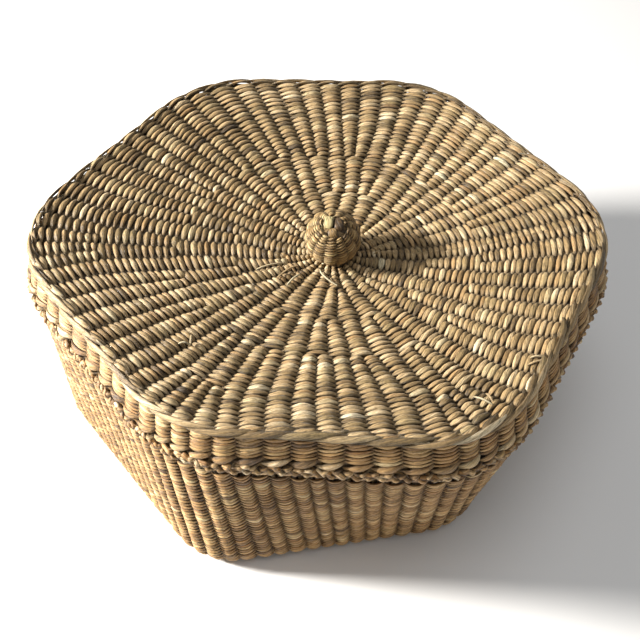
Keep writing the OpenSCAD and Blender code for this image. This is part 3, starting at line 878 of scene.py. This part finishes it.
lid_stakes = [lid_stake(rib, side) for rib in range(len(zone_4.even)) for side in SIDES]
for name, node, levels in [("main_stalks", "main_stakes", (0, 1)),
                            ("first_added_stalks", "first_added_stakes", (2,)),
                            ("second_added_stalks", "second_added_stakes", (3, 4))]:
    lines = [(points, out, width) for points, out, width, level in lid_stakes if level in levels]
    woven(stalk_guide(name, lines, 71), STALKS, "lid", "stakes", [node], width=5.2 * MM,
          thickness=1.2 * MM, crinkle=0.5 * MM, sides=6, material=stalk_grass)

# %% [markdown]
# ## The plaited border
# At the edge of the lid the ends of the stakes are folded over and plaited along it, and what is left over
# is cut off and stays as small nubs. The plait is three strands with a figure-of-eight swing. The nubs are
# one short stalk end, instanced along the border with a fixed seed.

# %% Plait
BORDER_LINK = 5.6 * MM
rim_points = rim_outline(np.arange(0, 361, 2.0), SKIRT_FLARE)
rim_length = np.linalg.norm(np.diff(rim_points, axis=0), axis=1).sum()
link_zone = Zone(count=round(rim_length / BORDER_LINK), seed=18)
border_middle = skirt_top_z - (skirt_z + plait_top_z) / 2
guide = ring_guide("border_braid", skirt_surface, link_zone, border_middle, sink=1.4 * MM, seed=34)
woven(guide, THREE_STRANDS, "lid", "border", ["border_plait"], depth=1.6 * MM, lean=1.7 * MM,
      width=2.5 * MM, thickness=2.2 * MM, pinch=0.2, overlap=0.0, plait=1.0, looseness=1.0 * MM,
      seed=800.0, material=border_grass)


# %% Cut ends
def cut_end_tree():
    """Puts a short stalk end on a share of the points of a guide, turned and sized at random."""
    net, given = open_tree("cut_ends", {
        "Guide": ("Geometry", None), "Length": ("Float", 5.5 * MM), "Radius": ("Float", 1.15 * MM),
        "Share Kept": ("Float", 0.5), "Seed": ("Int", 3), "Material": ("Material", None),
    })

    def chance(number, low=0.0, high=1.0):
        return net.node("FunctionNodeRandomValue", {"data_type": "FLOAT"},
                        {2: low, 3: high, "Seed": given["Seed"] + number}, 1)

    sockets = {"Vertices": 8, "Side Segments": 3, "Radius": given["Radius"], "Depth": given["Length"]}
    stub = net.node("GeometryNodeMeshCylinder", {"fill_type": "NGON"}, sockets, "Mesh")
    place = net.node("GeometryNodeInputPosition")
    stub = store(net, stub, "ring", net.vector_math("SCALE", place, 900.0), "FLOAT_VECTOR")
    length = net.node("ShaderNodeSeparateXYZ", inputs={0: place}, out="Z")
    # front is 0.8, which leaves the cut ends almost free of the painted groove shade
    stub = store(net, store(net, stub, "along", length), "front", 0.8)
    out, up = read(net, "out", "FLOAT_VECTOR"), read(net, "up", "FLOAT_VECTOR")
    across = net.vector_math("CROSS_PRODUCT", up, out)
    aim = net.vector_math("SCALE", out, chance(1, 0.0, 0.4))
    aim = net.vector_math("ADD", aim, net.vector_math("SCALE", up, chance(2, -0.55, 0.30)))
    aim = net.vector_math("ADD", aim, net.vector_math("SCALE", across, chance(3, 0.5, 1.1)))
    turned = net.node("FunctionNodeAlignRotationToVector", {"axis": "Z"}, {"Vector": aim})
    size = net.vector(chance(4, 0.7, 1.15), chance(5, 0.7, 1.15), chance(6, 0.5, 1.25))
    kept = chance(7).math("LESS_THAN", given["Share Kept"])
    ends = net.node("GeometryNodeInstanceOnPoints", {},
                    {"Points": given["Guide"], "Selection": kept, "Instance": stub, "Rotation": turned,
                     "Scale": size})
    toned = net.node("GeometryNodeStoreNamedAttribute", {"data_type": "FLOAT", "domain": "INSTANCE"},
                     {"Geometry": ends, "Name": "tone", "Value": chance(8, 0.35, 1.0)})
    return close_tree(net, toned, given["Material"])


END_SPACING = 3.6 * MM
ends_zone = Zone(count=round(rim_length / END_SPACING), seed=23)
guide = ring_guide("border_cut_ends", skirt_surface, ends_zone, border_middle - 0.6 * MM, sink=0.3 * MM,
                   uneven=1.6 * MM, seed=35, steps=1)
woven(guide, cut_end_tree(), "lid", "border", ["border_ends"], share_kept=0.55, material=border_grass)

# %% [markdown]
# ## The basket's wall, foot and base
# The wall is the same weave with 96 ribs, which stand out as strong round columns. It is kept in three
# pieces, one above the other. It turns under at the foot and runs to the middle of the base with fewer and
# fewer ribs.

# %% Wall
WALL_PITCH = 2.35 * MM
wall_rows = rows_between(0, wall_length, WALL_PITCH)
wall_pieces = [("wall_upper_rows", ["wall_outer_strands"]), ("wall_middle_rows", []),
               ("wall_lower_rows", ["wall_inner_strands"])]
stops = [round(wall_rows * number / len(wall_pieces)) for number in range(len(wall_pieces) + 1)]
for number, (name, nodes) in enumerate(wall_pieces):
    first, last = stops[number], stops[number + 1]
    guide = row_guide(name, wall_surface, wall_zone, wall_length * first / wall_rows,
                      wall_length * last / wall_rows, last - first, seed=41, steps=6)
    woven(guide, TWO_STRANDS, "basket", "wall_strands", nodes, depth=2.3 * MM, lean=1.0 * MM,
          width=2.4 * MM, thickness=1.6 * MM, pinch=0.65, looseness=0.5 * MM, sides=6,
          seed=900.0 + 100 * number, material=wall_grass)

# %% Foot and base
FOOT_ROWS = 5
guide = row_guide("foot_rows", foot_surface, wall_zone, 0.0, 90.0, FOOT_ROWS, seed=42,
                  step_place=STEP_FOOT, uneven=0.0, steps=6)
woven(guide, TWO_STRANDS, "basket", "wall_strands", ["foot_row"], depth=1.75 * MM, lean=1.0 * MM,
      width=2.8 * MM, pinch=0.5, variety=0.5, sides=7, seed=1100.0, material=wall_grass)
# Where the base's ribs halve, and where its coil takes over, as shares of the way out
OUTER_HALVING, INNER_HALVING, COIL_SHARE = 0.64, 0.32, 0.05
base_bands = [
    ("base_outer_rows", wall_zone, 1.0, OUTER_HALVING, ["base_outer_strands"]),
    ("base_middle_rows", base_middle_zone, OUTER_HALVING, INNER_HALVING, ["base_inner_strands"]),
    ("base_inner_rows", base_inner_zone, INNER_HALVING, COIL_SHARE, []),
]
BASE_PITCH = 3.4 * MM
for number, (name, zone, first, last, nodes) in enumerate(base_bands):
    rows = rows_between(first * BASE_R, last * BASE_R, BASE_PITCH)
    guide = row_guide(name, base_surface, zone, first, last, rows, seed=43,
                      step_place=STEP_SHARE, uneven=0.0, steps=6)
    woven(guide, TWO_STRANDS, "basket", "wall_strands", nodes, depth=1.7 * MM, lean=0.7 * MM,
          width=3.1 * MM, sides=6, seed=1200.0 + 100 * number, material=wall_grass)

# %% Stakes of the wall, the collar and the base
collar_low, collar_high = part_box("collar_outer_strands")
collar_height = collar_high.z - collar_low.z
# How far the collar's stalks go up into its border, and the whole collar down behind the ledge
IN_RIM = 3.5 * MM
IN_LEDGE = 5 * MM
collar_places = np.linspace(-IN_RIM, collar_height + IN_LEDGE, 4)
foot_places = np.linspace(20, 80, 4)
wall_lines, collar_lines, base_lines = [], [], []
for rib in range(len(wall_zone.even)):
    for side in SIDES:
        angle = beside(wall_zone, rib, np.ones(1), side)
        upper = surface_line(wall_surface, angle, np.linspace(0.5 * MM, wall_length, 8))
        lower = surface_line(foot_surface, angle, foot_places, step_place=STEP_FOOT)
        wall_lines.append([np.concatenate(pair) for pair in zip(upper, lower)])
        collar_lines.append(surface_line(collar_surface, angle, collar_places))
for _, zone, first, last, _ in base_bands:
    shares = np.linspace(first - 0.02, last - 0.02, 5)
    width = shares * len(wall_zone.even) / len(zone.even)
    for rib in range(len(zone.even)):
        for side in SIDES:
            angle = beside(zone, rib, shares, side)
            base_lines.append([*surface_line(base_surface, angle, shares, step_place=STEP_SHARE), width])
for name, node, lines in [("wall_stalks", "wall_stakes", wall_lines),
                          ("collar_stalks", "collar_stakes", collar_lines),
                          ("base_stalks", "base_stakes", base_lines)]:
    woven(stalk_guide(name, lines, 72), STALKS, "basket", "stakes", [node], width=3.5 * MM,
          thickness=1.2 * MM, crinkle=0.4 * MM, sides=6, material=stalk_grass)

# %% [markdown]
# ## Ledge, collar and rim
# Inside the lid the basket ends in a collar with a border on top, and a thick twisted row outside it
# carries the edge of the lid. Behind that row a narrow shelf joins the wall to the collar. They show when
# the lid is off.

# %% Ledge, shelf, collar and rim
ledge_low, ledge_high = (corner.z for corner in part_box("ledge_row"))
LEDGE_OUT = WALL_OUT + 0.3 * MM
SHELF_START, SHELF_WIDTH = 2 * MM, 6.5 * MM


def ledge_surface(angle, down):
    plan = rim_outline(angle, LEDGE_OUT) - PLAN_MIDDLE
    return at_height(plan, (ledge_low + ledge_high) / 2 - down)


ledge_zone = Zone(count=72, seed=19)
guide = ring_guide("ledge_twist", ledge_surface, ledge_zone, 0.0, sink=2.9 * MM, seed=51, steps=8)
woven(guide, TWO_STRANDS, "basket", "border", ["ledge_row"], depth=1.5 * MM, lean=1.3 * MM,
      width=3.4 * MM, thickness=2.4 * MM, pinch=0.3, seed=1500.0, material=border_grass)


def shelf_surface(angle, inwards):
    """The narrow shelf behind the ledge row, which joins the wall to the collar."""
    plan = rim_outline(angle, -SHELF_START - inwards) - PLAN_MIDDLE
    return at_height(plan, (ledge_low + ledge_high) / 2)


guide = row_guide("shelf_rows", shelf_surface, wall_zone, 0.0, SHELF_WIDTH, 3, sink=0.0,
                  uneven=0.0, seed=54, steps=6)
woven(guide, TWO_STRANDS, "basket", "wall_strands", [], depth=1.2 * MM, lean=0.7 * MM, width=2.9 * MM,
      pinch=0.3, sides=6, seed=1550.0, material=wall_grass)
collar_rows_height = collar_height + IN_LEDGE
guide = row_guide("collar_rows", collar_surface, wall_zone, 0.0, collar_rows_height,
                  rows_between(0, collar_rows_height), uneven=0.1 * MM, seed=52, steps=6)
woven(guide, TWO_STRANDS, "basket", "wall_strands", ["collar_outer_strands", "collar_inner_strands"],
      depth=1.6 * MM, lean=0.8 * MM, width=2.7 * MM, sides=7, seed=1600.0, material=wall_grass)
rim_low, rim_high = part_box("rim_border")


def rim_surface(angle, down):
    plan = rim_outline(angle, COLLAR_OUT) - PLAN_MIDDLE
    return at_height(plan, (rim_low.z + rim_high.z) / 2 - down)


rim_zone = Zone(count=150, seed=20)
guide = ring_guide("rim_plait", rim_surface, rim_zone, 0.0, sink=2.5 * MM, uneven=0.1 * MM, seed=53,
                   steps=6)
woven(guide, THREE_STRANDS, "basket", "border", ["rim_border"], depth=1.2 * MM, lean=1.5 * MM,
      width=2.3 * MM, thickness=2.0 * MM, pinch=0.15, overlap=0.0, plait=1.0, seed=1700.0,
      material=border_grass)

# %% [markdown]
# ## Knob
# The knob is a ball of fine rows over a bundle of gathered stalks. It leans a little towards the front, and
# four flat ends are folded over its top.


# %% Knob
KNOB_LEAN = math.radians(19)


def on_ball(direction, radius):
    """Points in a direction from the middle of the ball, whose top is tied a little towards the front."""
    x, y, z = np.moveaxis(direction, -1, 0)
    leaning = np.stack([x, y * math.cos(KNOB_LEAN) - z * math.sin(KNOB_LEAN),
                        y * math.sin(KNOB_LEAN) + z * math.cos(KNOB_LEAN)], axis=-1)
    return np.array([*KNOB_MIDDLE, ball_z]) + leaning * radius, leaning


def knob_surface(angle, turn):
    """The ball. turn runs from 0 at its top to 180 degrees at its bottom."""
    side = polar(angle, np.sin(np.radians(turn)))
    return on_ball(at_height(side, np.cos(np.radians(turn))), knob_r)[0]


knob_zone = Zone(count=13, seed=22)
# The rows run from the folded ends to the neck, in degrees from the top of the ball
KNOB_FIRST, KNOB_LAST, KNOB_ROWS = 27.0, 166.0, 23
guide = row_guide("knob_rows", knob_surface, knob_zone, KNOB_FIRST, KNOB_LAST, KNOB_ROWS, sink=1.1 * MM,
                  uneven=0.1 * MM, seed=61, step_place=STEP_TURN, steps=9)
woven(guide, TWO_STRANDS, "lid", "knob", ["knob_strands"], depth=0.8 * MM, lean=0.45 * MM,
      width=1.35 * MM, thickness=1.3 * MM, pinch=0.45, looseness=0.5 * MM, crinkle=0.3 * MM, seed=1800.0,
      material=knob_grass)


def meridian(azimuth, turns, depth):
    """A stalk that runs over the ball from its top to its bottom, at a depth under its surface."""
    middle, out, _ = frames(knob_surface, np.full(turns.shape, azimuth), turns, STEP_TURN)
    return middle - out * depth, out


BUNDLE_DEPTH = 2.6 * MM
bundle_turns = np.linspace(4, 170, 16)
bundle = [meridian(azimuth, bundle_turns, BUNDLE_DEPTH) for azimuth in np.arange(0, 360, 24.0)]
woven(stalk_guide("knob_bundle", bundle, 73), STALKS, "lid", "knob", ["knob_core"], width=5.6 * MM,
      thickness=2.4 * MM, material=stalk_grass)

# %% Folded ends on top of the knob
# How deep the folded ends lie in the ball, and how far their own ends are tucked in
FOLD_SINK, FOLD_TUCK = 0.8 * MM, 0.9 * MM


def fold_line(azimuth, first, last, shift, lift):
    """A flat end laid on the top of the ball, from one angle off its top to another."""
    turn = np.radians(np.linspace(first, last, 7))
    droop = np.linspace(-1, 1, 7)**4 * FOLD_TUCK
    along = np.array([math.cos(math.radians(azimuth)), math.sin(math.radians(azimuth)), 0.0])
    across = np.array([-along[1], along[0], 0.0])
    out = np.sin(turn)[:, None] * along + np.cos(turn)[:, None] * np.array([0.0, 0.0, 1.0])
    points, out = on_ball(out, (knob_r - FOLD_SINK + lift - droop)[:, None])
    return points + across * shift, out


# Direction, first and last angle off the top, shift to the side and lift of each end
folds = [fold_line(80, -8, 26, 2.7 * MM, 0.2 * MM), fold_line(95, -14, 24, -2.7 * MM, -0.3 * MM),
         fold_line(90, -30, -6, 0.4 * MM, 0.1 * MM), fold_line(20, 10, 30, 0.6 * MM, -0.5 * MM)]
fold_tones = [0.95, 0.05, 0.35, 0.5]
woven(stalk_guide("knob_folds", folds, 74, fold_tones), STALKS, "lid", "knob", ["knob_crown"],
      width=4.8 * MM, thickness=1.2 * MM, crinkle=0.8 * MM, sides=10, material=knob_grass)


# %% Coils that close the middle of the base and of the underside of the lid
COIL_STEPS = 24
COIL_OVERLAP = 1.05
DOWN = -1.0


def coil(name, middle, z, radius, pitch, out_z, body, slot, nodes):
    turns = radius / pitch
    angle = np.linspace(0, 360 * turns, int(COIL_STEPS * turns))
    plan = middle + polar(angle, pitch * (angle / 360 + 0.25))
    points = at_height(plan, z)
    out = np.tile([0.0, 0.0, out_z], (len(points), 1))
    woven(stalk_guide(name, [(points, out)], 75), STALKS, body, slot, nodes, width=pitch * COIL_OVERLAP,
          thickness=2.4 * MM, material=knob_grass)


under_low, under_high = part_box("under_knot")
coil("under_coil", KNOB_MIDDLE, under_low.z + 1.2 * MM, under_high.x - KNOB_MIDDLE[0] - 1.5 * MM, 2.7 * MM,
     DOWN, "lid", "knob", ["under_knot"])
coil("base_coil", BASE_MIDDLE, 2.2 * MM, 0.062 * BASE_R, 2.6 * MM, DOWN, "basket", "wall_strands", [])

# %% [markdown]
# ## Loose straws
# Handwork leaves a few straws that have worked loose: one in front of the neck, some beside the knob, a
# small frayed patch near a corner and a loop towards the front. Each is a thin stalk that arches over the
# rows.

# %% Loose straws
STRAW_CLEAR = 0.2 * MM


def straw(first_angle, first_share, last_angle, last_share, lift):
    """A straw between two places on the dish, raised most in its middle."""
    part = np.linspace(0, 1, 7)
    angle = first_angle + (last_angle - first_angle) * part
    share = first_share + (last_share - first_share) * part
    middle, out, _ = frames(dish_surface, angle, ring_place(share))
    return middle + out * (STRAW_CLEAR + lift * np.sin(np.pi * part))[:, None], out


straws = [straw(241, 0.10, 277, 0.175, 0.9 * MM), straw(205, 0.15, 214, 0.26, 0.9 * MM),
          straw(196, 0.20, 199, 0.31, 1.0 * MM), straw(222, 0.17, 226, 0.25, 0.8 * MM)]
frayed = [straw(315.5, 0.93, 318.5, 0.975, 0.7 * MM), straw(317.5, 0.925, 319, 0.965, 0.9 * MM),
          straw(301.5, 0.87, 303, 0.93, 0.8 * MM), straw(304, 0.885, 303.5, 0.925, 1.0 * MM)]
loop = [straw(225, 0.70, 228, 0.73, 2.0 * MM), straw(228, 0.73, 225.5, 0.76, 1.6 * MM)]
straw_tones = np.tile([0.95, 0.7, 0.85], 4)[:len(straws + frayed + loop)]
guide = stalk_guide("loose_straws", straws + frayed + loop, 76, straw_tones)
woven(guide, STALKS, "lid", "lid_strands", [], width=1.1 * MM, thickness=0.8 * MM, crinkle=0.3 * MM,
      material=lid_grass)

# %% [markdown]
# ## Camera, light and floor
# The camera looks down on the basket from the front. The light is soft but comes from low on the left, as
# from a window, so that every stitch has a bright side and a dark side.

# %% Camera
FOCAL_RATIO = 925.6 / 640
SENSOR = 36.0
CAMERA_DISTANCE = 504.0 * MM
CAMERA_ELEVATION = math.radians(49.39)
CAMERA_AZIMUTH = math.radians(-1.357)
CAMERA_ROLL = math.radians(0.416)
LOOK_RIGHT, LOOK_UP, LOOK_HEIGHT = 1.216 * MM, -8.436 * MM, 60 * MM

back = Vector((math.sin(CAMERA_AZIMUTH) * math.cos(CAMERA_ELEVATION),
               -math.cos(CAMERA_AZIMUTH) * math.cos(CAMERA_ELEVATION), math.sin(CAMERA_ELEVATION)))
level = Vector((math.cos(CAMERA_AZIMUTH), math.sin(CAMERA_AZIMUTH), 0))
upright = back.cross(level)
right = math.cos(CAMERA_ROLL) * level + math.sin(CAMERA_ROLL) * upright
above = -math.sin(CAMERA_ROLL) * level + math.cos(CAMERA_ROLL) * upright
target = Vector((0, 0, LOOK_HEIGHT)) + LOOK_RIGHT * right + LOOK_UP * above
camera = bpy.data.objects.new("camera", bpy.data.cameras.new("camera"))
camera.data.sensor_width = SENSOR
camera.data.lens = FOCAL_RATIO * SENSOR
turned = Matrix((right, above, back)).transposed().to_4x4()
camera.matrix_world = Matrix.Translation(target + CAMERA_DISTANCE * back) @ turned
bpy.context.scene.collection.objects.link(camera)
bpy.context.scene.camera = camera


# %% Lights and floor
LIT_POINT = Vector((0, 0, 0.08))


def soft_light(name, place, size, power, colour):
    data = bpy.data.lights.new(name, "AREA")
    data.shape = "DISK"
    data.size = size
    data.energy = power
    data.color = colour
    made = bpy.data.objects.new(name, data)
    made.location = place
    made.rotation_euler = (LIT_POINT - Vector(place)).to_track_quat("-Z", "Y").to_euler()
    bpy.context.scene.collection.objects.link(made)


soft_light("window", (-1.1, 0.05, 0.54), 0.2, 48.0, (1.0, 0.96, 0.91))
soft_light("sky", (0.1, -0.1, 1.6), 1.2, 6.0, (0.97, 0.98, 1.0))
world = bpy.data.worlds.new("room")
world.use_nodes = True
world.node_tree.nodes["Background"].inputs["Color"].default_value = (1.0, 1.0, 1.0, 1.0)
world.node_tree.nodes["Background"].inputs["Strength"].default_value = 0.26
bpy.context.scene.world = world
bpy.context.scene.view_settings.view_transform = "Standard"

floor_mesh = bpy.data.meshes.new("floor")
FLOOR_HALF = 3.0
floor_mesh.from_pydata([(-FLOOR_HALF, -FLOOR_HALF, 0), (FLOOR_HALF, -FLOOR_HALF, 0),
                        (FLOOR_HALF, FLOOR_HALF, 0), (-FLOOR_HALF, FLOOR_HALF, 0)], [], [(0, 1, 2, 3)])
floor = bpy.data.objects.new("floor", floor_mesh)
bpy.context.scene.collection.objects.link(floor)
paper = bpy.data.materials.new("pale_floor")
paper.use_nodes = True
paper.node_tree.nodes["Principled BSDF"].inputs["Base Color"].default_value = (0.88, 0.88, 0.87, 1.0)
paper.node_tree.nodes["Principled BSDF"].inputs["Roughness"].default_value = 0.9
floor_mesh.materials.append(paper)
